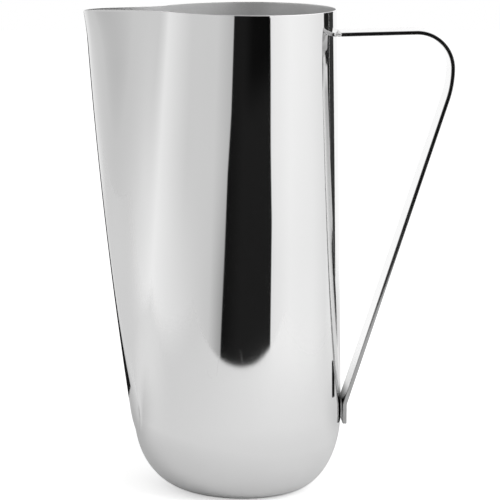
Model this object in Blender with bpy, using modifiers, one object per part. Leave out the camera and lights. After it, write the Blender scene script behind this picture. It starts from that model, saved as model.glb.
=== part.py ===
"""Steel carafe: a one-piece sheet body with a pulled spout, and a bent strap handle welded to it.

Units are metres.  The axis of the body is Z, the base stands on Z = 0, the handle is on +X and
the spout points to -X.
"""

import math

import bmesh
import bpy
from mathutils import Vector

# Body
HEIGHT = 0.240            # base to rim
BASE_RADIUS = 0.0498      # body at the base, before the corner is rounded
RIM_RADIUS = 0.0417       # round part of the rim
RIM_SHIFT = 0.0037        # centre of the rim, from the axis towards the handle
STRETCH = 1.133           # length of the spout side of the body over a true circle
BULGE = 0.0003            # fullness of the wall at half height
WALL = 0.0008             # sheet thickness
FLAT_RADIUS = 0.0255      # flat of the base
CORNER_HEIGHT = 0.0394    # rounded corner above the base

# Spout, which grows out of the round body as it rises
SPOUT_REACH = 0.0780      # axis to the tip, without the flare of the lip
SPOUT_START = 0.0293      # height where it begins
SPOUT_EASE = 0.23         # how much faster it grows low down
ROOT_AT_RIM = math.radians(30.0)      # where the round part of the body ends, from the spout
ROOT_AT_BASE = math.radians(20.5)
NOSE_RADIUS = 0.0041      # front edge of the full-grown spout in plan
NOSE_GROWTH = 6.65        # how early the front edge grows sharp
FLANK_AT_RIM = math.radians(23.5)     # sides of the spout behind its front edge
FLANK_MIDDLE = math.radians(50.0)
FLANK_AT_BASE = math.radians(75.0)
FLANK_START = 20.0        # how early the sides leave the round body
FLANK_GROWTH = 4.35       # how late they turn in for the rim
HOLLOW_AT_RIM = 0.262     # run of the hollow after the root, over the length of the side
HOLLOW_AT_BASE = 0.773
STRAIGHT_AT_RIM = 0.215   # straight run behind the front edge, over the length of the side
STRAIGHT_AT_BASE = 0.02
LIP_FLARE = 0.0011        # outward curl of the tip
LIP_DROP = 0.0008         # tip below the rim
LIP_HEIGHT = 0.020        # rim down to where the curl ends

# Handle strap
STRAP_WIDTH = 0.019
STRAP_THICKNESS = 0.002
STRAP_EDGE = 0.0003       # rounding of its edges
STRAP_DROP = 0.012        # rim down to the middle of the strap at the wall
STRAP_RISE = math.radians(1.5)
HANDLE_SPAN = 0.0572      # wall to the outermost face of the strap
TOP_BEND = 0.0178         # bend radii, at the middle of the strap
SWEEP_BEND = 0.050
FOOT_BEND = 0.003
FOOT_BASE = 0.0332        # lower end of the foot above the base
FOOT_LENGTH = 0.0095

# Welds
JOINT_GAP = 0.0003        # clear space between touching pieces
BEAD_DEPTH = 0.0005       # filler between the strap and the nearest point of the wall
BEAD_PROUD = 0.0004       # filler outside the faces of the strap
BEAD_EDGE = 0.0004        # rounding of the filler
NUGGET_RADIUS = 0.0014
NUGGET_DEPTH = 0.0006
NUGGET_MARGIN = 0.0007    # end of the foot to the pocket round a nugget

# Facets
ROUND_STEPS = 20
HOLLOW_STEPS = 14
NOSE_STEPS = 6
CORNER_STEPS = 7
WALL_STEPS = 9
LIP_STEPS = 3
TOP_BEND_STEPS = 12
SWEEP_STEPS = 5
FOOT_BEND_STEPS = 4
BEAD_STEPS = 10
NUGGET_SIDES = 20
EDGE_ANGLE = math.radians(40.0)   # only edges sharper than this are rounded


def clear_scene():
    for obj in list(bpy.data.objects):
        bpy.data.objects.remove(obj, do_unlink=True)


def make_collection(name):
    collection = bpy.data.collections.new(name)
    bpy.context.scene.collection.children.link(collection)
    return collection


def steel(name, shade, roughness):
    material = bpy.data.materials.new(name)
    material.use_nodes = True
    shader = material.node_tree.nodes["Principled BSDF"]
    shader.inputs["Base Color"].default_value = (shade, shade, shade, 1.0)
    shader.inputs["Metallic"].default_value = 1.0
    shader.inputs["Roughness"].default_value = roughness
    return material


def arc(centre, radius, start, end, steps):
    """Points on an arc, without its first point."""
    points = []
    for step in range(1, steps + 1):
        angle = start + (end - start) * step / steps
        points.append(centre + radius * Vector((math.cos(angle), math.sin(angle))))
    return points


def bezier(start, lead, follow, end, steps):
    """Points on a cubic curve, without its first point."""
    points = []
    for step in range(1, steps + 1):
        share = step / steps
        rest = 1.0 - share
        point = start * rest ** 3 + lead * (3.0 * share * rest ** 2)
        points.append(point + follow * (3.0 * share ** 2 * rest) + end * share ** 3)
    return points


def egg(angle):
    """Unit outline of the body, by angle from the handle: round, but longer on the spout side."""
    x = math.cos(angle)
    if x < 0.0:
        x *= STRETCH
    return Vector((x, math.sin(angle)))


def body_radius(z):
    share = z / HEIGHT
    return BASE_RADIUS + (RIM_RADIUS - BASE_RADIUS) * share + BULGE * 4.0 * share * (1.0 - share)


def body_centre(z):
    return RIM_SHIFT * z / HEIGHT


def corner_share(z):
    """How far the section at this height has grown from the flat of the base to the full body."""
    below = max(0.0, 1.0 - z / CORNER_HEIGHT)
    return math.sqrt(1.0 - below ** 2)


def mix(low, high, share):
    return low + (high - low) * share


def spout_share(z):
    rise = max(0.0, (z - SPOUT_START) / (HEIGHT - SPOUT_START))
    return rise * (1.0 + SPOUT_EASE * (1.0 - rise))


def lip_share(z):
    return max(0.0, 1.0 - (HEIGHT - z) / LIP_HEIGHT) ** 2


def root_angle(z):
    """Where the round part of the body ends, by angle from the handle."""
    return math.pi - mix(ROOT_AT_BASE, ROOT_AT_RIM, z / HEIGHT)


def root_heading(angle):
    return Vector((-STRETCH * math.sin(angle), math.cos(angle))).normalized()


def direction(angle):
    return Vector((math.cos(angle), math.sin(angle)))


def spout_half(z):
    """Half of the spout at one height, in plan about the body's centre, from its root to its tip."""
    grown = spout_share(z)
    radius = body_radius(z)
    angle = root_angle(z)
    root = radius * egg(angle)
    tip = STRETCH * radius + grown * (SPOUT_REACH + RIM_SHIFT - STRETCH * RIM_RADIUS)
    nose_radius = mix(NOSE_RADIUS, radius / STRETCH, (1.0 - grown) ** NOSE_GROWTH)
    early = 1.0 - (1.0 - grown) ** FLANK_START
    flank_angle = mix(FLANK_AT_BASE, FLANK_MIDDLE, early)
    flank_angle = mix(flank_angle, FLANK_AT_RIM, grown ** FLANK_GROWTH)
    nose = Vector((nose_radius - tip, 0.0))
    nose_start = math.pi / 2.0 + flank_angle
    nose_side = nose + nose_radius * direction(nose_start)
    length = (nose_side - root).length
    lead = root + mix(HOLLOW_AT_BASE, HOLLOW_AT_RIM, grown) * length * root_heading(angle)
    straight = mix(STRAIGHT_AT_BASE, STRAIGHT_AT_RIM, grown) * length
    follow = nose_side + straight * direction(flank_angle)
    points = [root] + bezier(root, lead, follow, nose_side, HOLLOW_STEPS)
    return points + arc(nose, nose_radius, nose_start, math.pi, NOSE_STEPS)


def section(z):
    """Outer outline of the body at one height, which dips a little at the tip of the lip."""
    end = root_angle(z)
    half = [body_radius(z) * egg(end * step / ROUND_STEPS) for step in range(ROUND_STEPS)]
    half += spout_half(z)
    outline = half + [Vector((point.x, -point.y)) for point in half[-2:0:-1]]
    points = []
    for point in outline:
        flat = FLAT_RADIUS * point.normalized()
        towards_tip = max(0.0, -point.x / (SPOUT_REACH + RIM_SHIFT)) ** 4
        moved = point.copy()
        moved.x += body_centre(z) - LIP_FLARE * lip_share(z) * towards_tip
        moved = flat.lerp(moved, corner_share(z))
        dip = LIP_DROP * lip_share(z) * towards_tip ** 4
        points.append(Vector((moved.x, moved.y, z - dip)))
    return points


def levels():
    heights = []
    for step in range(CORNER_STEPS + 1):
        angle = math.pi / 2.0 * step / CORNER_STEPS
        heights.append(CORNER_HEIGHT * (1.0 - math.cos(angle)))
    lip = HEIGHT - LIP_HEIGHT
    wall = lip - CORNER_HEIGHT
    heights += [CORNER_HEIGHT + wall * step / WALL_STEPS for step in range(1, WALL_STEPS + 1)]
    heights += [lip + LIP_HEIGHT * step / LIP_STEPS for step in range(1, LIP_STEPS + 1)]
    return heights


def wall_x(z):
    """Outer face of the wall on the handle side."""
    full = body_centre(z) + body_radius(z)
    return FLAT_RADIUS + corner_share(z) * (full - FLAT_RADIUS)


def add_object(name, data, collection, material=None, parent=None):
    obj = bpy.data.objects.new(name, data)
    collection.objects.link(obj)
    if material is not None:
        data.materials.append(material)
    obj.parent = parent
    return obj


def make_body(collection, material, parent):
    """Sheet lofted from the round base to the spouted rim, thickened inwards."""
    mesh = bpy.data.meshes.new("body_shell")
    bm = bmesh.new()
    rings = []
    for z in levels():
        rings.append([bm.verts.new(point) for point in section(z)])
    count = len(rings[0])
    bm.faces.new(reversed(rings[0]))
    for lower, upper in zip(rings, rings[1:]):
        for index in range(count):
            after = (index + 1) % count
            bm.faces.new((lower[index], lower[after], upper[after], upper[index]))
    for face in bm.faces:
        face.smooth = True
    bm.to_mesh(mesh)
    bm.free()
    body = add_object("body_shell", mesh, collection, material, parent)
    sheet = body.modifiers.new("sheet", "SOLIDIFY")
    sheet.thickness = WALL
    sheet.offset = -1.0
    sheet.use_even_offset = True


def strap_top():
    return HEIGHT - STRAP_DROP


def strap_end():
    """Square end of the strap, clear of the wall by the filler and a gap on each side of it."""
    return wall_x(strap_top()) + BEAD_DEPTH + 2.0 * JOINT_GAP


def foot_face():
    """Inner face of the foot, clear of the fullest part of the wall behind it."""
    top = FOOT_BASE + FOOT_LENGTH
    fullest = min(max(FOOT_BASE, CORNER_HEIGHT), top)
    return max(wall_x(z) for z in (FOOT_BASE, fullest, top)) + JOINT_GAP


def strap_path():
    """Middle of the strap in the XZ plane: out from the wall, round the bends and down to the foot."""
    half = STRAP_THICKNESS / 2.0
    start = Vector((strap_end(), strap_top()))
    outermost = wall_x(strap_top()) + HANDLE_SPAN - half
    rise = Vector((math.cos(STRAP_RISE), math.sin(STRAP_RISE)))
    top_x = outermost - TOP_BEND
    bend_x = top_x - TOP_BEND * rise.y
    bend_z = start.y + (bend_x - start.x) * math.tan(STRAP_RISE)
    top_centre = Vector((top_x, bend_z - TOP_BEND * rise.x))
    sweep_centre = Vector((outermost - SWEEP_BEND, top_centre.y))
    foot_x = foot_face() + half
    foot_centre = Vector((foot_x + FOOT_BEND, FOOT_BASE + FOOT_LENGTH))
    # The straight arm touches the sweep from outside and the foot bend from inside
    apart = foot_centre - sweep_centre
    lean = -math.acos((SWEEP_BEND + FOOT_BEND) / apart.length) - math.atan2(apart.y, apart.x)
    points = [start, Vector((bend_x, bend_z))]
    points += arc(top_centre, TOP_BEND, math.pi / 2.0 + STRAP_RISE, 0.0, TOP_BEND_STEPS)
    points += arc(sweep_centre, SWEEP_BEND, 0.0, -lean, SWEEP_STEPS)
    bend_top = math.pi - lean
    points.append(foot_centre + FOOT_BEND * Vector((math.cos(bend_top), math.sin(bend_top))))
    points += arc(foot_centre, FOOT_BEND, bend_top, math.pi, FOOT_BEND_STEPS)
    points.append(Vector((foot_x, FOOT_BASE)))
    return points


def offset_path(points, distance):
    """The path moved sideways, to the left of its run."""
    moved = []
    for index, point in enumerate(points):
        before = points[max(index - 1, 0)]
        after = points[min(index + 1, len(points) - 1)]
        into = (point - before).normalized()
        out = (after - point).normalized()
        side = into + out
        side = Vector((-side.y, side.x)).normalized()
        edge = out if index == 0 else into
        square = Vector((-edge.y, edge.x))
        moved.append(point + side * (distance / side.dot(square)))
    return moved


def make_plate(name, outline, thickness, edge, collection, material, parent):
    """Flat outline filled and thickened to a plate about its own XY plane, with rounded edges."""
    curve = bpy.data.curves.new(name, "CURVE")
    curve.dimensions = "2D"
    curve.fill_mode = "BOTH"
    curve.extrude = thickness / 2.0
    spline = curve.splines.new("POLY")
    spline.points.add(len(outline) - 1)
    for target, point in zip(spline.points, outline):
        target.co = (point.x, point.y, 0.0, 1.0)
    spline.use_cyclic_u = True
    plate = add_object(name, curve, collection, material, parent)
    bpy.context.view_layer.objects.active = plate
    plate.select_set(True)
    bpy.ops.object.convert(target="MESH")
    plate.select_set(False)
    seams = plate.modifiers.new("seams", "WELD")
    seams.merge_threshold = 0.00001
    edges = plate.modifiers.new("edges", "BEVEL")
    edges.width = edge
    edges.segments = 2
    edges.limit_method = "ANGLE"
    edges.angle_limit = EDGE_ANGLE
    return plate


def pocket_radius():
    return NUGGET_RADIUS + JOINT_GAP


def nugget_places():
    """Name and height of each weld nugget behind the foot."""
    inset = NUGGET_MARGIN + pocket_radius()
    return [("low", FOOT_BASE + inset), ("high", FOOT_BASE + FOOT_LENGTH - inset)]


def add_disc(name, radius, start, depth, z, collection):
    """Round disc that runs along X from a start."""
    mesh = bpy.data.meshes.new(name)
    bm = bmesh.new()
    bmesh.ops.create_cone(
        bm, cap_ends=True, segments=NUGGET_SIDES, radius1=radius, radius2=radius, depth=depth)
    bm.to_mesh(mesh)
    bm.free()
    disc = add_object(name, mesh, collection)
    disc.location = (start + depth / 2.0, 0.0, z)
    disc.rotation_euler.y = math.pi / 2.0
    return disc


def make_strap(collection, cutters, material, parent):
    """Flat strip bent to the handle, with a pocket in its foot for each weld nugget."""
    half = STRAP_THICKNESS / 2.0
    path = strap_path()
    outline = offset_path(path, half) + offset_path(path, -half)[::-1]
    strap = make_plate("handle_strap", outline, STRAP_WIDTH, STRAP_EDGE, collection, material, parent)
    strap.rotation_euler.x = math.pi / 2.0
    depth = NUGGET_DEPTH + JOINT_GAP
    for place, z in nugget_places():
        name = "foot_pocket_" + place
        cutter = add_disc(name, pocket_radius(), foot_face() - depth, 2.0 * depth, z, cutters)
        cutter.display_type = "WIRE"
        cutter.hide_render = True
        pocket = strap.modifiers.new(name, "BOOLEAN")
        pocket.operation = "DIFFERENCE"
        pocket.solver = "EXACT"
        pocket.object = cutter


def make_upper_weld(collection, material, parent):
    """Filler between the square end of the strap and the round wall."""
    z = strap_top()
    half_width = STRAP_WIDTH / 2.0 + BEAD_PROUD
    hollow = body_radius(z) + JOINT_GAP
    spread = math.asin(half_width / hollow)
    centre = Vector((body_centre(z), 0.0))
    face = strap_end() - JOINT_GAP
    start = centre + hollow * Vector((math.cos(-spread), math.sin(-spread)))
    outline = [Vector((face, half_width)), Vector((face, -half_width)), start]
    outline += arc(centre, hollow, -spread, spread, BEAD_STEPS)
    height = STRAP_THICKNESS + 2.0 * BEAD_PROUD
    weld = make_plate("upper_weld", outline, height, BEAD_EDGE, collection, material, parent)
    weld.location.z = z


def make_lower_welds(collection, material, parent):
    """Weld nuggets between the foot and the wall."""
    for place, z in nugget_places():
        nugget = add_disc("lower_weld_" + place, NUGGET_RADIUS, foot_face(), NUGGET_DEPTH, z, collection)
        nugget.data.materials.append(material)
        nugget.parent = parent


def main():
    clear_scene()
    parts = make_collection("carafe")
    cutters = make_collection("cutters")
    root = add_object("carafe_root", None, parts)
    make_body(parts, steel("mirror_steel", 0.90, 0.06), root)
    make_strap(parts, cutters, steel("polished_strap_steel", 0.82, 0.12), root)
    make_upper_weld(parts, steel("polished_weld", 0.86, 0.18), root)
    make_lower_welds(parts, steel("raw_weld", 0.55, 0.45), root)


main()
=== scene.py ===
"""Looks of the steel carafe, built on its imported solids.

Units are metres, in the frame of the solids: Z is up, the handle is on +X and the spout on -X.
"""

import math

import bmesh
import bpy
import numpy as np
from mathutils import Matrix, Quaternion, Vector


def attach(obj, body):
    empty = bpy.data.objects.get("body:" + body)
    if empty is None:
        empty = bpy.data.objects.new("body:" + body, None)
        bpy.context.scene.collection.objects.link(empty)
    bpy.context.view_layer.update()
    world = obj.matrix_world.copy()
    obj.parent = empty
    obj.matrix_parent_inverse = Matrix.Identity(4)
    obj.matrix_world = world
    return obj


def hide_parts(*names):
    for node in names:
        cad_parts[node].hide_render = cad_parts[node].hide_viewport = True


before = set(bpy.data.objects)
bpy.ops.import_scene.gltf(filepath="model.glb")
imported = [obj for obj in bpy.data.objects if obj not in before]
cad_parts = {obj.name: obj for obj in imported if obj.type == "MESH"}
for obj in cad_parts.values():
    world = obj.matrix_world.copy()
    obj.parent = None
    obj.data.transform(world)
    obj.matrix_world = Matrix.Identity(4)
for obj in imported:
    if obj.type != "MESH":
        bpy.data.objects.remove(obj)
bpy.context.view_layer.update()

# Body, with the sizes of its solid
HEIGHT = 0.240            # base to rim
BASE_RADIUS = 0.0498      # body at the base, before the corner is rounded
RIM_RADIUS = 0.0417       # round part of the rim
RIM_SHIFT = 0.0037        # centre of the rim, from the axis towards the handle
STRETCH = 1.133           # length of the spout side of the body over a true circle
BULGE = 0.0003            # fullness of the wall at half height
WALL = 0.0008             # sheet thickness
FLAT_RADIUS = 0.0255      # flat of the base
CORNER_HEIGHT = 0.0394    # rounded corner above the base
RIM_EDGE = 0.00020        # rounding of the cut edge of the sheet, outside and inside
RIM_EDGE_INSIDE = 0.00010
INSET = 0.00012           # keeps the round body inside the facets of its solid

# Spout, with the sizes of the solid
SPOUT_REACH = 0.0780      # axis to the tip, without the flare of the lip
SPOUT_START = 0.0293      # height where it begins to grow out of the body
SPOUT_EASE = 0.23         # how much faster it grows low down
ROOT_AT_RIM = math.radians(30.0)      # where the round part of the body ends, from the spout
ROOT_AT_BASE = math.radians(20.5)
NOSE_RADIUS = 0.0041      # front edge of the full-grown spout in plan
NOSE_GROWTH = 6.65        # how early the front edge grows sharp
FLANK_AT_RIM = math.radians(23.5)     # sides of the spout behind its front edge
FLANK_MIDDLE = math.radians(50.0)
FLANK_AT_BASE = math.radians(75.0)
FLANK_START = 20.0        # how early the sides leave the round body
FLANK_GROWTH = 4.35       # how late they turn in for the rim
HOLLOW_AT_RIM = 0.262     # run of the hollow after the root, over the length of the side
HOLLOW_AT_BASE = 0.773
STRAIGHT_AT_RIM = 0.215   # straight run behind the front edge, over the length of the side
STRAIGHT_AT_BASE = 0.02
LIP_FLARE = 0.0011        # outward curl of the tip
LIP_DROP = 0.0008         # tip below the rim
LIP_HEIGHT = 0.020        # rim down to where the curl ends
LIP_CURVE = 2             # how late the curl sets in on the way up
LIP_FOCUS = 4             # how close to the tip it keeps

# Handle strap, with the sizes of the solid
STRAP_WIDTH = 0.019
STRAP_THICKNESS = 0.002
STRAP_EDGE = 0.0003       # rounding of its edges
STRAP_DROP = 0.012        # rim down to the middle of the strap at the wall
STRAP_RISE = math.radians(1.5)
HANDLE_SPAN = 0.0572      # wall to the outermost face of the strap
TOP_BEND = 0.0178         # bend radii, at the middle of the strap
SWEEP_BEND = 0.050
FOOT_BEND = 0.003
FOOT_BASE = 0.0332        # lower end of the foot above the base
FOOT_LENGTH = 0.0095
END_EASE = 0.00015        # easing of the cut ends
EASE_MIDDLE = 0.3         # middle ring of that easing, over its length
EASE_SHARPER = 0.6        # how much the rounding of the edges gives way to it

# Welds
JOINT_GAP = 0.0003        # clear space between the solids
BEAD_DEPTH = 0.0005       # filler between the strap and the nearest point of the wall
BEAD_PROUD = 0.0002       # filler outside the faces of the strap
BEAD_SINK = 0.0001        # how far the bead runs into the wall and the strap
BEAD_RIPPLES = 15         # solidified ripples along the bead
RIPPLE_HEIGHT = 0.00007
BEAD_SIDES = 0.55         # fullness of its section: lower is squarer
BEAD_CROWN = 0.8
BEAD_TAPER = 14           # how late its ends close
BEAD_END = 0.05           # height left at its ends, over its full height

# Mesh density
ROUND_STEPS = 84
HOLLOW_STEPS = 64
NOSE_STEPS = 16
CORNER_STEPS = 44
WALL_STEPS = 96
LIP_STEPS = 20
RIM_STEPS = 4
BASE_STEPS = 6
BASE_CENTRE = 0.2         # innermost ring of the base, in steps from its centre
TOP_BEND_STEPS = 64
SWEEP_STEPS = 24
FOOT_BEND_STEPS = 14
EDGE_STEPS = 5
EDGE_SUPPORT = 2.0        # loop beside each edge of the strap, over the edge's rounding
RIPPLE_STEPS = 6
BEAD_ROUND_STEPS = 28

# Camera
CAMERA_PLACE = Vector((-0.06775, -1.24816, 0.34317))
CAMERA_TARGET = Vector((0.00321, -0.00017, 0.12012))
CAMERA_ROLL = math.radians(0.28)
CAMERA_LENS = 183.93      # millimetres, and so is the sensor
CAMERA_SENSOR = 36.0

# Faces of the sheet, by material number
MIRROR, SATIN, CUT, TURNED = range(4)

# Blends: from nothing to all, and back
GROW = (0.0, 1.0)
FADE = (1.0, 0.0)

# Patterns in the steel: stretch by axis, scale and detail
EVEN = (1.0, 1.0, 1.0)
BUFFING = ((1.0, 1.0, 24.0), 150.0, 3.0)
SMUDGES = ((1.0, 1.0, 0.6), 28.0, 3.0)
SCRATCHES = ((1.0, 1.0, 0.16), 90.0, 0.0)
SCRATCH_PATCHES = (EVEN, 55.0, 2.0)
WAVES = ((1.0, 1.0, 0.5), 22.0, 1.0)
SATIN_GRAIN = ((1.0, 1.0, 1.6), 1500.0, 3.0)
SATIN_CLOUDS = (EVEN, 60.0, 2.0)
CUT_MARKS = ((1.0, 1.0, 0.2), 1800.0, 2.0)
TURNED_RINGS = (EVEN, 2600.0, 2.0)
STRAP_LINES = ((30.0, 2400.0, 1.0), 1.0, 3.0)
STRAP_SMUDGES = (EVEN, 70.0, 2.0)
WELD_GRAIN = (EVEN, 2200.0, 3.0)
PATTERN_SPAN = (0.3, 0.7)             # where nearly all of a pattern lies
PATTERN_MIDDLE = 0.5

# Steel: shades are shares of the light that it reflects, reliefs are depth and strength
STEEL = 0.84
MIRROR_SHADES = (STEEL + 0.008, STEEL - 0.008)
MIRROR_ROUGH = (0.028, 0.044)
MIRROR_RELIEF = (0.00002, 0.6)
SMUDGE_SPAN = (0.45, 0.75)
SMUDGE_ROUGH = (0.0, 0.012)
SCRATCH_TURN = (0.9, 0.5, 0.2)
SCRATCH_WIDTH = 0.003
SCRATCH_SPAN = (0.56, 0.64)
SCRATCH_ROUGH = 0.11
# The satin inside changes along X, from the spout towards the handle: its roughness, and a painted light
# that is brighter towards the spout
SATIN_ROUGH_RUN = (-0.05, 0.02)
SATIN_ROUGH = (0.78, 0.40)
SATIN_PAINTED_LIGHT_RUN = (-0.03, 0.02)
SATIN_PAINTED_LIGHT = (0.92, 0.80)
CHANNEL_PAINTED_SHADE_RUN = (-0.070, -0.045)        # painted shade in the channel of the spout
CHANNEL_PAINTED_SHADE = (0.5, 1.0)
GRAIN_ROUGH = (-0.07, 0.07)
GRAIN_SHADES = (-0.04, 0.04)
CLOUD_ROUGH = (-0.02, 0.02)
SATIN_RELIEF = (0.00003, 0.5)
CUT_SHADES = (0.92, 0.98)             # ground edge of the sheet
CUT_ROUGH = (0.10, 0.22)
TURNED_SHADES = (STEEL - 0.04, STEEL + 0.02)
TURNED_ROUGH = (0.10, 0.24)
TURNED_RELIEF = (0.00002, 0.4)
STRAP_SHADES = (STEEL - 0.02, STEEL + 0.02)
STRAP_ROUGH = (0.07, 0.15)
STRAP_SMUDGE_SPAN = (0.4, 0.7)
STRAP_SMUDGE_ROUGH = (0.0, 0.03)
STRAP_RELIEF = (0.000006, 0.4)
EDGE_PAINTED_SHADE = 0.50         # painted shade on the sheared edges of the strap, against its faces
FOOT_PAINTED_SHADE = 0.90               # painted shade on the back of the foot, over the welds
FOOT_SHADE_FACING = (-0.5, -0.8)            # X of the normal on faces that look at the wall
FOOT_SHADE_HEIGHTS = (0.043, 0.052)
WELD_SHADES = (STEEL - 0.28, STEEL - 0.12)
WELD_ROUGH = (0.14, 0.30)
WELD_RELIEF = (0.00003, 0.5)

# Studio: a white light tent with an opening for the camera, and a dark room behind the camera.
# Directions go by bearing, from the camera's side of the object towards the spout, and by rise
# above the level, in degrees.  Levels are brightness, where 1 is white.
WHITE = (1.0, 1.0, 1.0, 1.0)
WALL_LEVELS = (           # at eye level
    (-140, 1.05), (-105, 0.885), (-76, 1.00), (-50, 1.04), (-22, 0.94),
    (22, 0.55), (38, 0.69), (70, 0.70), (100, 0.87), (145, 1.05),
)
WALL_FOOT_LEVELS = (      # lower down, near the floor
    (-140, 1.05), (-109, 0.86), (-85, 0.96), (-50, 0.99), (-22, 0.86),
    (22, 0.28), (38, 0.66), (70, 0.82), (110, 0.95), (145, 1.05),
)
WALL_BRIGHTEST = 1.05     # top of the scale of these levels
WALL_FOOT_RISES = (-3.0, -8.0)
# Opening: bearing of its edges by rise
LEFT_EDGE = ((-8, 25.4), (-6, 24.0), (-4, 23.1), (-2.5, 20.9), (0, 20.5))
RIGHT_EDGE = ((-8, 26.5), (-6, 26.5), (-4, 23.8), (-2, 22.5), (0, 20.4))
WIDEST = 30.0             # top of the scale of these edges
EDGE_SOFT = 0.6           # half of the breadth over which an edge blends
OPENING_TOP = (15.0, 35.0)
# Dark room seen through the opening, from the right to the left: at eye level, and lower down
ROOM_LEVELS = (0.0035, 0.0108)
ROOM_BEARINGS = (0.0, 9.0)
ROOM_FOOT_LEVELS = (0.0140, 0.0075)
ROOM_FOOT_BEARINGS = (8.0, 22.0)
ROOM_RISES = (-3.2, -1.6)
CEILING_LEVELS = (
    (-180, 0.90), (-130, 1.50), (-60, 1.50), (-20, 0.70),
    (20, 0.25), (60, 0.45), (120, 0.55), (180, 0.90),
)
CEILING_BRIGHTEST = 1.50
CEILING_RISES = (8.0, 30.0)
DOME_LEVEL = 0.74         # soft light from all round, more of it from the front
DOME_LEAN = 0.12
LAMP_PLACE = Vector((0.70, -0.60, 0.65))
LAMP_SIZE = 0.50
LAMP_POWER = 3.2

# Floor
FLOOR_HALF = 2.50
FLOOR_COLOUR = 0.90
FLOOR_GLOW = 0.46         # for the camera alone
# Painted shadow that only reflections show: darker about the base and behind it
PAINTED_SHADOW_CENTRE = (-0.04, 0.04, 0.0)
NEAR_RUN = (0.04, 0.14)   # from that place
NEAR_PAINTED_SHADOW = 0.84
BEHIND_RUN = (0.0, 0.11)  # along Y
BEHIND_PAINTED_SHADOW = 0.84
BEHIND_END = (0.18, 0.38)
# They lose it where it sweeps up into the walls, from the object to the right, to the left and behind
FLOOR_FADES = ((0.24, 0.53), (0.42, 0.76), (0.30, 0.62))
CORNER_FADES = ((0.12, 0.40), (-0.15, 0.12))      # corner of the tent, to the left and behind
CORNER_SHARE = 0.42
FRONT_FADE = (-0.485, -0.510)         # front of the tent

# Dark cards: shade, plan of the two ends, bottom and top
CARDS = {
    "edge_card_left": (0.015, (-0.203, 0.102), (-0.066, 0.178), 0.0, 0.205),
    "edge_card_near": (0.015, (0.322, 0.077), (0.2525, 0.118), 0.115, 0.35),
    "edge_card_far": (0.045, (0.2510, 0.1190), (0.195, 0.156), 0.055, 0.35),
    "low_stand": (0.015, (0.224, 0.109), (0.203, 0.134), 0.0, 0.022),
}


def unit(vectors):
    return vectors / np.linalg.norm(vectors, axis=-1, keepdims=True)


def direction(angle):
    return np.array((math.cos(angle), math.sin(angle)))


def mix(low, high, share):
    return low + (high - low) * share


def arc(centre, radius, start, end, steps):
    """Points on an arc, without its first point."""
    angles = start + (end - start) * np.arange(1, steps + 1) / steps
    return np.asarray(centre) + radius * np.column_stack((np.cos(angles), np.sin(angles)))


def bezier(start, lead, follow, end, steps):
    """Points on a cubic curve, without its first point."""
    share = (np.arange(1, steps + 1) / steps)[:, None]
    rest = 1.0 - share
    return (start * rest ** 3 + 3.0 * lead * share * rest ** 2
            + 3.0 * follow * share ** 2 * rest + end * share ** 3)


def run_lengths(points):
    """Length along a line of points up to each of them."""
    return np.concatenate(([0.0], np.cumsum(np.linalg.norm(np.diff(points, axis=0), axis=1))))


def egg(angle):
    """Unit outline of the body, by angle from the handle: round, but longer on the spout side."""
    x = np.cos(angle)
    return np.stack((np.where(x < 0.0, STRETCH * x, x), np.sin(angle)), axis=-1)


def body_radius(z):
    share = z / HEIGHT
    return BASE_RADIUS + (RIM_RADIUS - BASE_RADIUS) * share + BULGE * 4.0 * share * (1.0 - share)


def body_centre(z):
    return RIM_SHIFT * z / HEIGHT


def corner_share(z):
    """How far the rounded corner has come out at one height, from the flat to the full body."""
    below = max(0.0, 1.0 - z / CORNER_HEIGHT)
    return math.sqrt(1.0 - below ** 2)


def wall_x(z):
    """Outer face of the wall on the handle side."""
    return mix(FLAT_RADIUS, body_centre(z) + body_radius(z), corner_share(z))


def spout_share(z):
    """How far the spout has grown at one height."""
    rise = max(0.0, (z - SPOUT_START) / (HEIGHT - SPOUT_START))
    return rise * (1.0 + SPOUT_EASE * (1.0 - rise))


def root_angle(z):
    """Where the round part of the body ends, by angle from the handle."""
    return math.pi - mix(ROOT_AT_BASE, ROOT_AT_RIM, z / HEIGHT)


def root_heading(angle):
    return unit(np.array((-STRETCH * math.sin(angle), math.cos(angle))))


def spout_half(z):
    """Half of the spout at one height, in plan about the body's centre, from its root to its tip."""
    grown = spout_share(z)
    radius = body_radius(z)
    angle = root_angle(z)
    root = radius * egg(angle)
    tip = STRETCH * radius + grown * (SPOUT_REACH + RIM_SHIFT - STRETCH * RIM_RADIUS)
    nose_radius = mix(NOSE_RADIUS, radius / STRETCH, (1.0 - grown) ** NOSE_GROWTH)
    early = 1.0 - (1.0 - grown) ** FLANK_START
    flank_angle = mix(FLANK_AT_BASE, FLANK_MIDDLE, early)
    flank_angle = mix(flank_angle, FLANK_AT_RIM, grown ** FLANK_GROWTH)
    nose = np.array((nose_radius - tip, 0.0))
    nose_start = math.pi / 2.0 + flank_angle
    nose_side = nose + nose_radius * direction(nose_start)
    length = np.linalg.norm(nose_side - root)
    lead = root + mix(HOLLOW_AT_BASE, HOLLOW_AT_RIM, grown) * length * root_heading(angle)
    straight = mix(STRAIGHT_AT_BASE, STRAIGHT_AT_RIM, grown) * length
    follow = nose_side + straight * direction(flank_angle)
    side = bezier(root, lead, follow, nose_side, HOLLOW_STEPS)
    return np.vstack((root, side, arc(nose, nose_radius, nose_start, math.pi, NOSE_STEPS)))


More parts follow.
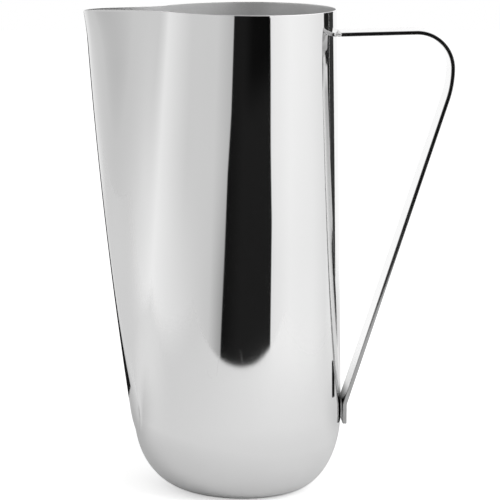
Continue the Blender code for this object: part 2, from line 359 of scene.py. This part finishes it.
def section(z):
    """Outer outline of the body at one height, as points in space."""
    rounded = body_radius(z) * egg(root_angle(z) * np.arange(ROUND_STEPS) / ROUND_STEPS)
    half = np.vstack((rounded, spout_half(z)))
    points = np.vstack((half, half[-2:0:-1] * np.array((1.0, -1.0))))
    flat = FLAT_RADIUS * unit(points)
    lip = max(0.0, 1.0 - (HEIGHT - z) / LIP_HEIGHT) ** LIP_CURVE
    towards_tip = np.clip(-points[:, 0] / (SPOUT_REACH + RIM_SHIFT), 0.0, 1.0) ** LIP_FOCUS
    points[:, 0] += body_centre(z) - LIP_FLARE * lip * towards_tip
    points = mix(flat, points, corner_share(z))
    return np.column_stack((points, z - LIP_DROP * lip * towards_tip ** LIP_FOCUS))


def levels():
    """Heights of the outlines: close together in the rounded corner and in the lip."""
    angles = np.arange(CORNER_STEPS) / CORNER_STEPS * math.pi / 2.0
    corner = CORNER_HEIGHT * (1.0 - np.cos(angles))
    lip = HEIGHT - LIP_HEIGHT
    wall = np.linspace(CORNER_HEIGHT, lip, WALL_STEPS, endpoint=False)
    return np.concatenate((corner, wall, np.linspace(lip, HEIGHT, LIP_STEPS)))


def rounded_edge(before, corner, after):
    """Rings that turn an edge from one face to the next."""
    rings = []
    for step in range(RIM_STEPS + 1):
        share = step / RIM_STEPS
        rest = 1.0 - share
        rings.append(before * rest ** 2 + corner * (2.0 * share * rest) + after * share ** 2)
    return rings


def add_run_coordinates(mesh, along, across, count):
    """Coordinates on the surface: length along the run of rings, and length across it."""
    layer = mesh.uv_layers.new(name="run")
    for face in mesh.polygons:
        columns = [mesh.loops[index].vertex_index % count for index in face.loop_indices]
        wraps = max(columns) - min(columns) > 1
        for index, place in zip(face.loop_indices, columns):
            ring = mesh.loops[index].vertex_index // count
            turned = count if wraps and place == 0 else place
            layer.data[index].uv = (along[ring], across[turned])


def skin(name, rings, bands, materials, along=None, across=None):
    """Closed mesh through a row of rings.  Each band between two rings has a material number."""
    count = len(rings[0])
    points = np.vstack(rings)
    column = np.arange(count)
    after = (column + 1) % count
    faces = [list(reversed(range(count)))]
    numbers = [bands[0]]
    for index, band in enumerate(bands):
        low = index * count
        high = low + count
        quads = np.column_stack((low + column, low + after, high + after, high + column))
        faces += quads.tolist()
        numbers += [band] * count
    faces.append(list(range(len(points) - count, len(points))))
    numbers.append(bands[-1])
    mesh = bpy.data.meshes.new(name)
    mesh.from_pydata(points.tolist(), [], faces)
    mesh.polygons.foreach_set("material_index", numbers)
    mesh.polygons.foreach_set("use_smooth", [True] * len(faces))
    if along is not None:
        add_run_coordinates(mesh, along, across, count)
    for material in materials:
        mesh.materials.append(material)
    bm = bmesh.new()
    bm.from_mesh(mesh)
    bmesh.ops.recalc_face_normals(bm, faces=bm.faces)
    bm.to_mesh(mesh)
    bm.free()
    piece = bpy.data.objects.new(name, mesh)
    bpy.context.scene.collection.objects.link(piece)
    return piece


def make_body(materials):
    """Sheet body: base, outside, rounded rim, inside and inner base in one closed skin."""
    outer = np.array([section(z) for z in levels()])
    around = np.roll(outer, -1, axis=1) - np.roll(outer, 1, axis=1)
    upward = unit(np.gradient(outer, axis=0))
    normals = unit(np.cross(around, upward))
    inner = outer - WALL * normals
    inner[0, :, 2] = WALL
    outer[1:, :, :2] -= INSET * normals[1:, :, :2]
    # The cut of the rim is level across the sheet, so the inner edge slides up or down to it
    rest = (outer[-1, :, 2] - inner[-1, :, 2]) / upward[-1, :, 2]
    top = inner[-1] + upward[-1] * rest[:, None]
    over = unit(top - outer[-1])
    up = upward[-1]
    rim = rounded_edge(outer[-1] - RIM_EDGE * up, outer[-1], outer[-1] + RIM_EDGE * over)
    rim += rounded_edge(top - RIM_EDGE_INSIDE * over, top, top - RIM_EDGE_INSIDE * up)
    shares = (np.arange(BASE_STEPS) + BASE_CENTRE) / BASE_STEPS
    flat = np.array((1.0, 1.0, 0.0))
    base = [outer[0] * flat * share for share in shares]
    inner_base = [inner[0] * (flat * share) + np.array((0.0, 0.0, WALL)) for share in shares[::-1]]
    rings = base + list(outer[:-1]) + rim + list(inner[-2::-1]) + inner_base
    bands = [TURNED] * len(base) + [MIRROR] * (len(outer) - 1) + [CUT] * (len(rim) - 1)
    bands += [SATIN] * (len(rings) - 1 - len(bands))
    return skin("body", rings, bands, materials)


def strap_end():
    return wall_x(HEIGHT - STRAP_DROP) + BEAD_DEPTH + 2.0 * JOINT_GAP


def foot_face():
    """Inner face of the foot, clear of the fullest part of the wall behind it."""
    top = FOOT_BASE + FOOT_LENGTH
    fullest = min(max(FOOT_BASE, CORNER_HEIGHT), top)
    return max(wall_x(z) for z in (FOOT_BASE, fullest, top)) + JOINT_GAP


def strap_path():
    """Middle of the strap in the XZ plane: out from the wall, round the bends and down to the foot."""
    half = STRAP_THICKNESS / 2.0
    start = np.array((strap_end(), HEIGHT - STRAP_DROP))
    outermost = wall_x(start[1]) + HANDLE_SPAN - half
    top_x = outermost - TOP_BEND
    bend_x = top_x - TOP_BEND * math.sin(STRAP_RISE)
    bend_z = start[1] + (bend_x - start[0]) * math.tan(STRAP_RISE)
    top_centre = np.array((top_x, bend_z - TOP_BEND * math.cos(STRAP_RISE)))
    sweep_centre = np.array((outermost - SWEEP_BEND, top_centre[1]))
    foot_x = foot_face() + half
    foot_centre = np.array((foot_x + FOOT_BEND, FOOT_BASE + FOOT_LENGTH))
    # The straight arm touches the sweep from outside and the foot bend from inside
    apart = foot_centre - sweep_centre
    lean = -math.acos((SWEEP_BEND + FOOT_BEND) / np.linalg.norm(apart)) - math.atan2(apart[1], apart[0])
    bend_top = math.pi - lean
    return np.vstack((
        start,
        (bend_x, bend_z),
        arc(top_centre, TOP_BEND, math.pi / 2.0 + STRAP_RISE, 0.0, TOP_BEND_STEPS),
        arc(sweep_centre, SWEEP_BEND, 0.0, -lean, SWEEP_STEPS),
        foot_centre + FOOT_BEND * direction(bend_top),
        arc(foot_centre, FOOT_BEND, bend_top, math.pi, FOOT_BEND_STEPS),
        (foot_x, FOOT_BASE),
    ))


def path_sides(path):
    """Unit sideways vector at each point of a path, lengthened at bends to keep the thickness."""
    runs = unit(np.diff(path, axis=0))
    into = np.vstack((runs[:1], runs))
    out = np.vstack((runs, runs[-1:]))
    mean = unit(into + out)
    side = np.column_stack((-mean[:, 1], mean[:, 0]))
    square = np.column_stack((-out[:, 1], out[:, 0]))
    return side / (side * square).sum(axis=1)[:, None]


def strip_section(shrink):
    """Rounded rectangle across the strap: offset from its middle, and place across its width."""
    half = STRAP_THICKNESS / 2.0 - shrink
    reach = STRAP_WIDTH / 2.0 - shrink
    edge = STRAP_EDGE - EASE_SHARPER * shrink
    points = []
    for quarter in range(4):
        start = quarter * math.pi / 2.0
        sign_a = 1.0 if quarter in (0, 3) else -1.0
        sign_b = 1.0 if quarter in (0, 1) else -1.0
        centre = np.array((sign_a * (half - edge), sign_b * (reach - edge)))
        corner = np.vstack((
            centre + edge * direction(start),
            arc(centre, edge, start, start + math.pi / 2.0, EDGE_STEPS),
        ))
        support = np.array((0.0, sign_b * EDGE_SUPPORT * edge))
        if quarter in (0, 2):
            points += [corner[0] - support, *corner]
        else:
            points += [*corner, corner[-1] - support]
    return np.array(points)


def make_strap(material):
    """Bent strip with rounded edges and slightly eased ends."""
    path = strap_path()
    sides = path_sides(path)
    first = unit(path[1] - path[0])
    last = unit(path[-1] - path[-2])
    middle = EASE_MIDDLE * END_EASE
    # Rings of an eased end: place behind the cut, and how much each is smaller
    eased = ((0.0, END_EASE), (middle, middle), (END_EASE, 0.0))
    stations = [(path[0] + behind * first, sides[0], shrink) for behind, shrink in eased]
    stations += [(point, side, 0.0) for point, side in zip(path[1:-1], sides[1:-1])]
    stations += [(path[-1] - behind * last, sides[-1], shrink) for behind, shrink in reversed(eased)]
    rings = []
    for point, side, shrink in stations:
        strip = strip_section(shrink)
        place = point + strip[:, :1] * side
        rings.append(np.column_stack((place[:, 0], strip[:, 1], place[:, 1])))
    along = run_lengths(np.array([station[0] for station in stations]))
    strip = strip_section(0.0)
    across = run_lengths(np.vstack((strip, strip[:1])))
    bands = [0] * (len(rings) - 1)
    return skin("handle", rings, bands, [material], along, across)


def fuller(value, power):
    """A sine or cosine, changed so that its circle grows fuller."""
    return math.copysign(abs(value) ** power, value)


def make_bead(material):
    """Weld bead between the square end of the strap and the round wall, with solidified ripples."""
    z = HEIGHT - STRAP_DROP
    half_width = STRAP_WIDTH / 2.0 + BEAD_PROUD
    face = strap_end() + BEAD_SINK
    steps = RIPPLE_STEPS * BEAD_RIPPLES
    rings = []
    for step in range(steps + 1):
        share = 2.0 * step / steps - 1.0
        y = half_width * share
        wall = body_centre(z) + math.sqrt(body_radius(z) ** 2 - y ** 2) - BEAD_SINK
        ripple = RIPPLE_HEIGHT * abs(math.sin(math.pi * BEAD_RIPPLES * (share + 1.0) / 2.0))
        full = max(math.sqrt(1.0 - abs(share) ** BEAD_TAPER), BEAD_END)
        half_height = (STRAP_THICKNESS / 2.0 + BEAD_PROUD - RIPPLE_HEIGHT + ripple) * full
        ring = []
        for angle in np.arange(BEAD_ROUND_STEPS) / BEAD_ROUND_STEPS * 2.0 * math.pi:
            across = fuller(math.cos(angle), BEAD_SIDES) * (face - wall) / 2.0
            height = fuller(math.sin(angle), BEAD_CROWN) * half_height
            ring.append(((wall + face) / 2.0 + across, y, z + height))
        rings.append(np.array(ring))
    return skin("weld_bead", rings, [0] * steps, [material])


def add_node(tree, kind, inputs=None, **settings):
    """Shader node with its settings, and with its inputs set or linked."""
    made = tree.nodes.new(kind)
    for name, value in settings.items():
        setattr(made, name, value)
    for key, value in (inputs or {}).items():
        if isinstance(value, bpy.types.NodeSocket):
            tree.links.new(value, made.inputs[key])
        else:
            made.inputs[key].default_value = value
    return made


def math_node(tree, operation, first, second=0.0):
    return add_node(tree, "ShaderNodeMath", {0: first, 1: second}, operation=operation).outputs[0]


def plus(tree, first, second):
    return math_node(tree, "ADD", first, second)


def minus(tree, first, second):
    return math_node(tree, "SUBTRACT", first, second)


def times(tree, first, second):
    return math_node(tree, "MULTIPLY", first, second)


def larger(tree, first, second):
    return math_node(tree, "MAXIMUM", first, second)


def blend(tree, share, first, second):
    """Mix of two values, from the first to the second."""
    rest = minus(tree, 1.0, share)
    return plus(tree, times(tree, first, rest), times(tree, second, share))


def spread(tree, value, span, result, smooth=False):
    """A value's span, turned into another span."""
    kind = "SMOOTHSTEP" if smooth else "LINEAR"
    ends = {"From Min": span[0], "From Max": span[1], "To Min": result[0], "To Max": result[1]}
    inputs = {"Value": value, **ends}
    return add_node(tree, "ShaderNodeMapRange", inputs, interpolation_type=kind).outputs["Result"]


def ramp(tree, value, stops, brightest):
    """Levels between stops, with the value running from the first stop to the last."""
    first = stops[0][0]
    length = stops[-1][0] - first
    share = spread(tree, value, (first, first + length), GROW)
    made = add_node(tree, "ShaderNodeValToRGB", {0: share})
    elements = made.color_ramp.elements
    for stop in stops[1:-1]:
        elements.new((stop[0] - first) / length)
    for element, (place, level) in zip(elements, stops):
        element.position = (place - first) / length
        element.color = (level / brightest, level / brightest, level / brightest, 1.0)
    return times(tree, made.outputs["Color"], brightest)


def neutral(tree, shade):
    """Neutral grey of a shade."""
    return add_node(tree, "ShaderNodeCombineColor", {0: shade, 1: shade, 2: shade}).outputs[0]


def axes(tree, vector):
    return add_node(tree, "ShaderNodeSeparateXYZ", {0: vector}).outputs


def object_place(tree):
    return add_node(tree, "ShaderNodeTexCoord").outputs["Object"]


def pattern(tree, place, stretch, scale, detail, turn=(0.0, 0.0, 0.0)):
    moved = add_node(tree, "ShaderNodeMapping", {"Vector": place, "Scale": stretch, "Rotation": turn})
    inputs = {"Vector": moved.outputs[0], "Scale": scale, "Detail": detail}
    return add_node(tree, "ShaderNodeTexNoise", inputs).outputs[0]


def hairlines(tree, place):
    """Thin broken lines: the middle contour of a stretched pattern, where a coarser one lets it show."""
    field = pattern(tree, place, *SCRATCHES, SCRATCH_TURN)
    apart = math_node(tree, "ABSOLUTE", minus(tree, field, PATTERN_MIDDLE))
    line = spread(tree, apart, (0.0, SCRATCH_WIDTH), FADE)
    shown = spread(tree, pattern(tree, place, *SCRATCH_PATCHES), SCRATCH_SPAN, GROW)
    return times(tree, line, shown)


def new_steel(name):
    material = bpy.data.materials.new(name)
    material.use_nodes = True
    tree = material.node_tree
    shader = tree.nodes["Principled BSDF"]
    shader.inputs["Metallic"].default_value = 1.0
    return material, tree, shader


def set_surface(tree, shader, rough, shade):
    tree.links.new(rough, shader.inputs["Roughness"])
    tree.links.new(neutral(tree, shade), shader.inputs["Base Color"])


def set_relief(tree, shader, height, relief):
    depth, strength = relief
    bump = add_node(tree, "ShaderNodeBump", {"Height": height, "Distance": depth, "Strength": strength})
    tree.links.new(bump.outputs[0], shader.inputs["Normal"])


def mirror_steel():
    """Polished sheet: faint buffing lines round the body, smudges and a few hairline scratches."""
    material, tree, shader = new_steel("mirror_steel")
    place = object_place(tree)
    smudges = pattern(tree, place, *SMUDGES)
    rough = spread(tree, pattern(tree, place, *BUFFING), PATTERN_SPAN, MIRROR_ROUGH)
    rough = plus(tree, rough, spread(tree, smudges, SMUDGE_SPAN, SMUDGE_ROUGH))
    rough = plus(tree, rough, times(tree, hairlines(tree, place), SCRATCH_ROUGH))
    set_surface(tree, shader, rough, spread(tree, smudges, PATTERN_SPAN, MIRROR_SHADES))
    set_relief(tree, shader, pattern(tree, place, *WAVES), MIRROR_RELIEF)
    return material


def satin_steel():
    """Inside of the sheet: a satin grain, coarser towards the spout, with painted light brighter towards
    the spout and painted shade in its channel.
    """
    material, tree, shader = new_steel("satin_steel")
    place = object_place(tree)
    x = axes(tree, place)[0]
    grain = pattern(tree, place, *SATIN_GRAIN)
    clouds = pattern(tree, place, *SATIN_CLOUDS)
    rough = spread(tree, x, SATIN_ROUGH_RUN, SATIN_ROUGH)
    rough = plus(tree, spread(tree, grain, PATTERN_SPAN, GRAIN_ROUGH), rough)
    rough = plus(tree, rough, spread(tree, clouds, PATTERN_SPAN, CLOUD_ROUGH))
    # Painted light: the shade of the satin is brighter towards the spout
    shade = spread(tree, x, SATIN_PAINTED_LIGHT_RUN, SATIN_PAINTED_LIGHT)
    shade = plus(tree, spread(tree, grain, PATTERN_SPAN, GRAIN_SHADES), shade)
    # Painted shade in the channel of the spout, darker towards its front
    shade = times(tree, shade, spread(tree, x, CHANNEL_PAINTED_SHADE_RUN, CHANNEL_PAINTED_SHADE, smooth=True))
    set_surface(tree, shader, rough, shade)
    set_relief(tree, shader, grain, SATIN_RELIEF)
    return material


def cut_steel():
    """Ground edge of the sheet, with marks across it."""
    material, tree, shader = new_steel("cut_steel")
    marks = pattern(tree, object_place(tree), *CUT_MARKS)
    rough = spread(tree, marks, PATTERN_SPAN, CUT_ROUGH)
    set_surface(tree, shader, rough, spread(tree, marks, PATTERN_SPAN, CUT_SHADES))
    return material


def turned_steel():
    """Underside of the base, with turned rings."""
    material, tree, shader = new_steel("turned_steel")
    place = object_place(tree)
    apart = add_node(tree, "ShaderNodeVectorMath", {0: place}, operation="LENGTH").outputs["Value"]
    outwards = add_node(tree, "ShaderNodeCombineXYZ", {0: apart}).outputs[0]
    rings = pattern(tree, outwards, *TURNED_RINGS)
    rough = spread(tree, rings, PATTERN_SPAN, TURNED_ROUGH)
    set_surface(tree, shader, rough, spread(tree, rings, PATTERN_SPAN, TURNED_SHADES))
    set_relief(tree, shader, rings, TURNED_RELIEF)
    return material


def strap_steel():
    """Polished strip: faint lines along its run, painted shade on its sheared edges and painted shade on
    the back of its foot.
    """
    material, tree, shader = new_steel("strap_steel")
    place = object_place(tree)
    run = add_node(tree, "ShaderNodeUVMap", uv_map="run").outputs[0]
    lines = pattern(tree, run, *STRAP_LINES)
    smudges = pattern(tree, place, *STRAP_SMUDGES)
    rough = spread(tree, lines, PATTERN_SPAN, STRAP_ROUGH)
    rough = plus(tree, rough, spread(tree, smudges, STRAP_SMUDGE_SPAN, STRAP_SMUDGE_ROUGH))
    spot = axes(tree, place)
    outwards = math_node(tree, "ABSOLUTE", spot[1])
    reach = STRAP_WIDTH / 2.0
    # Painted shade on the edges of the strap
    edge = spread(tree, outwards, (reach - STRAP_EDGE, reach - STRAP_EDGE / 2.0), GROW)
    facing = axes(tree, add_node(tree, "ShaderNodeTexCoord").outputs["Normal"])[0]
    # Painted shade on the back of the foot, on faces that look at the wall
    foot_shadow = spread(tree, facing, FOOT_SHADE_FACING, (0.0, FOOT_PAINTED_SHADE))
    foot_shadow = times(tree, foot_shadow, spread(tree, spot[2], FOOT_SHADE_HEIGHTS, FADE))
    unshadowed = minus(tree, 1.0, foot_shadow)
    shade = spread(tree, lines, PATTERN_SPAN, STRAP_SHADES)
    shade = times(tree, shade, spread(tree, edge, GROW, (1.0, EDGE_PAINTED_SHADE)))
    set_surface(tree, shader, rough, times(tree, shade, unshadowed))
    # The painted shade behind the foot also dims its reflection
    tree.links.new(neutral(tree, unshadowed), shader.inputs["Specular Tint"])
    set_relief(tree, shader, lines, STRAP_RELIEF)
    return material


def weld_steel():
    """Weld metal, lightly ground."""
    material, tree, shader = new_steel("weld_steel")
    grain = pattern(tree, object_place(tree), *WELD_GRAIN)
    rough = spread(tree, grain, PATTERN_SPAN, WELD_ROUGH)
    set_surface(tree, shader, rough, spread(tree, grain, PATTERN_SPAN, WELD_SHADES))
    set_relief(tree, shader, grain, WELD_RELIEF)
    return material


def within(tree, value, limit):
    """One up to a limit and nothing past it, with a soft step."""
    return spread(tree, minus(tree, value, limit), (-EDGE_SOFT, EDGE_SOFT), FADE, smooth=True)


def studio_walls(tree, parts):
    """Brightness of the studio by direction: walls all round, the opening, and the ceiling."""
    to_left = times(tree, parts[0], -1.0)
    to_front = times(tree, parts[1], -1.0)
    bearing = math_node(tree, "DEGREES", math_node(tree, "ARCTAN2", to_left, to_front))
    rise = math_node(tree, "DEGREES", math_node(tree, "ARCSINE", parts[2]))
    high = ramp(tree, bearing, WALL_LEVELS, WALL_BRIGHTEST)
    low = ramp(tree, bearing, WALL_FOOT_LEVELS, WALL_BRIGHTEST)
    walls = blend(tree, spread(tree, rise, WALL_FOOT_RISES, GROW, smooth=True), high, low)
    left = within(tree, bearing, ramp(tree, rise, LEFT_EDGE, WIDEST))
    right = within(tree, times(tree, bearing, -1.0), ramp(tree, rise, RIGHT_EDGE, WIDEST))
    opening = times(tree, left, right)
    opening = times(tree, opening, spread(tree, rise, OPENING_TOP, FADE, smooth=True))
    deep = spread(tree, bearing, ROOM_BEARINGS, ROOM_LEVELS)
    lower = spread(tree, bearing, ROOM_FOOT_BEARINGS, ROOM_FOOT_LEVELS)
    room = blend(tree, spread(tree, rise, ROOM_RISES, GROW, smooth=True), lower, deep)
    walls = blend(tree, opening, walls, room)
    ceiling = ramp(tree, bearing, CEILING_LEVELS, CEILING_BRIGHTEST)
    return blend(tree, spread(tree, rise, CEILING_RISES, GROW, smooth=True), walls, ceiling)


def make_world():
    """White for the camera, an even dome for light, and the studio's walls for reflections."""
    world = bpy.data.worlds.new("studio")
    world.use_nodes = True
    tree = world.node_tree
    tree.nodes.clear()
    parts = axes(tree, add_node(tree, "ShaderNodeTexCoord").outputs["Generated"])
    seen = {"Color": studio_walls(tree, parts), "Strength": 1.0}
    seen = add_node(tree, "ShaderNodeBackground", seen).outputs[0]
    level = spread(tree, parts[1], (-1.0, 1.0), (DOME_LEVEL + DOME_LEAN, DOME_LEVEL - DOME_LEAN))
    dome = add_node(tree, "ShaderNodeBackground", {"Color": WHITE, "Strength": level}).outputs[0]
    white = add_node(tree, "ShaderNodeBackground", {"Color": WHITE, "Strength": 1.0}).outputs[0]
    path = add_node(tree, "ShaderNodeLightPath").outputs
    mirrored = larger(tree, path["Is Glossy Ray"], path["Is Transmission Ray"])
    light = add_node(tree, "ShaderNodeMixShader", {0: mirrored, 1: dome, 2: seen}).outputs[0]
    shares = {0: path["Is Camera Ray"], 1: light, 2: white}
    final = add_node(tree, "ShaderNodeMixShader", shares).outputs[0]
    add_node(tree, "ShaderNodeOutputWorld", {"Surface": final})
    bpy.context.scene.world = world


def new_sheet_material(name):
    material = bpy.data.materials.new(name)
    material.use_nodes = True
    material.node_tree.nodes.clear()
    return material, material.node_tree


def painted_floor_shadow(tree, place, parts):
    """Painted shadow on the floor as reflections show it: darker about the base, and behind it."""
    ends = {0: place, 1: PAINTED_SHADOW_CENTRE}
    apart = add_node(tree, "ShaderNodeVectorMath", ends, operation="DISTANCE").outputs["Value"]
    near = spread(tree, apart, NEAR_RUN, (NEAR_PAINTED_SHADOW, 1.0))
    behind = spread(tree, parts[1], BEHIND_RUN, (0.0, 1.0 - BEHIND_PAINTED_SHADOW), smooth=True)
    behind = times(tree, behind, spread(tree, apart, BEHIND_END, FADE, smooth=True))
    return times(tree, near, minus(tree, 1.0, behind))


def floor_gone(tree, parts):
    """Where reflections lose the floor: it sweeps up into the walls, and ends in front of the tent."""
    left = times(tree, parts[0], -1.0)
    gone = spread(tree, parts[1], FRONT_FADE, GROW, smooth=True)
    for way, fade in zip((parts[0], left, parts[1]), FLOOR_FADES):
        gone = larger(tree, gone, spread(tree, way, fade, GROW, smooth=True))
    to_left, to_back = CORNER_FADES
    corner = spread(tree, left, to_left, (0.0, CORNER_SHARE), smooth=True)
    corner = times(tree, corner, spread(tree, parts[1], to_back, GROW, smooth=True))
    return larger(tree, gone, corner)


def floor_material():
    """Matt white floor that keeps shadows, lifted for the camera and clear from below."""
    material, tree = new_sheet_material("white_floor")
    path = add_node(tree, "ShaderNodeLightPath").outputs
    place = object_place(tree)
    parts = axes(tree, place)
    # Reflections see the floor with a painted shadow about the base and behind it
    shade = blend(tree, path["Is Glossy Ray"], 1.0, painted_floor_shadow(tree, place, parts))
    colour = neutral(tree, times(tree, shade, FLOOR_COLOUR))
    matt = add_node(tree, "ShaderNodeBsdfDiffuse", {"Color": colour}).outputs[0]
    lift = times(tree, path["Is Camera Ray"], FLOOR_GLOW)
    glow = add_node(tree, "ShaderNodeEmission", {"Strength": lift}).outputs[0]
    both = add_node(tree, "ShaderNodeAddShader", {0: matt, 1: glow}).outputs[0]
    gone = times(tree, floor_gone(tree, parts), path["Is Glossy Ray"])
    below = add_node(tree, "ShaderNodeNewGeometry").outputs["Backfacing"]
    gone = larger(tree, gone, below)
    clear = add_node(tree, "ShaderNodeBsdfTransparent").outputs[0]
    final = add_node(tree, "ShaderNodeMixShader", {0: gone, 1: both, 2: clear}).outputs[0]
    add_node(tree, "ShaderNodeOutputMaterial", {"Surface": final})
    return material


def card_material(name, shade):
    material, tree = new_sheet_material(name)
    matt = add_node(tree, "ShaderNodeBsdfDiffuse", {"Color": (shade, shade, shade, 1.0)}).outputs[0]
    add_node(tree, "ShaderNodeOutputMaterial", {"Surface": matt})
    return material


def add_sheet(name, corners, material):
    mesh = bpy.data.meshes.new(name)
    mesh.from_pydata(corners, [], [tuple(range(len(corners)))])
    mesh.materials.append(material)
    sheet = bpy.data.objects.new(name, mesh)
    bpy.context.scene.collection.objects.link(sheet)
    return sheet


def add_card(name, shade, start, end, bottom, top):
    """Upright sheet that only reflections show."""
    corners = [(*start, bottom), (*end, bottom), (*end, top), (*start, top)]
    card = add_sheet(name, corners, card_material(name, shade))
    card.visible_camera = False
    card.visible_diffuse = False
    card.visible_shadow = False


def make_studio():
    """Floor, dark cards that draw the edges of the polished steel, and a soft lamp from the right."""
    corners = ((-1.0, -1.0), (1.0, -1.0), (1.0, 1.0), (-1.0, 1.0))
    add_sheet("floor", [(FLOOR_HALF * x, FLOOR_HALF * y, 0.0) for x, y in corners], floor_material())
    for name, card in CARDS.items():
        add_card(name, *card)
    data = bpy.data.lights.new("side_lamp", "AREA")
    data.size = LAMP_SIZE
    data.energy = LAMP_POWER
    lamp = bpy.data.objects.new("side_lamp", data)
    bpy.context.scene.collection.objects.link(lamp)
    lamp.location = LAMP_PLACE
    lamp.rotation_mode = "QUATERNION"
    lamp.rotation_quaternion = (-LAMP_PLACE).to_track_quat("-Z", "Y")
    lamp.visible_camera = False
    lamp.visible_glossy = False


def make_camera():
    data = bpy.data.cameras.new("camera")
    data.lens = CAMERA_LENS
    data.sensor_width = CAMERA_SENSOR
    camera = bpy.data.objects.new("camera", data)
    bpy.context.scene.collection.objects.link(camera)
    camera.location = CAMERA_PLACE
    look = (CAMERA_TARGET - CAMERA_PLACE).to_track_quat("-Z", "Y")
    camera.rotation_mode = "QUATERNION"
    camera.rotation_quaternion = look @ Quaternion((0.0, 0.0, 1.0), CAMERA_ROLL)
    bpy.context.scene.camera = camera


def dress():
    """Body, strap and bead in place of their solids, and weld metal on the two hidden welds."""
    weld = weld_steel()
    body = make_body([mirror_steel(), satin_steel(), cut_steel(), turned_steel()])
    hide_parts("body_shell")
    strap = make_strap(strap_steel())
    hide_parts("handle_strap")
    bead = make_bead(weld)
    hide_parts("upper_weld")
    for piece in (body, strap, bead):
        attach(piece, "root")
    for name in ("lower_weld_low", "lower_weld_high"):
        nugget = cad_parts[name]
        nugget.data.materials.clear()
        nugget.data.materials.append(weld)


make_camera()
make_world()
make_studio()
dress()
bpy.context.scene.view_settings.view_transform = "Standard"
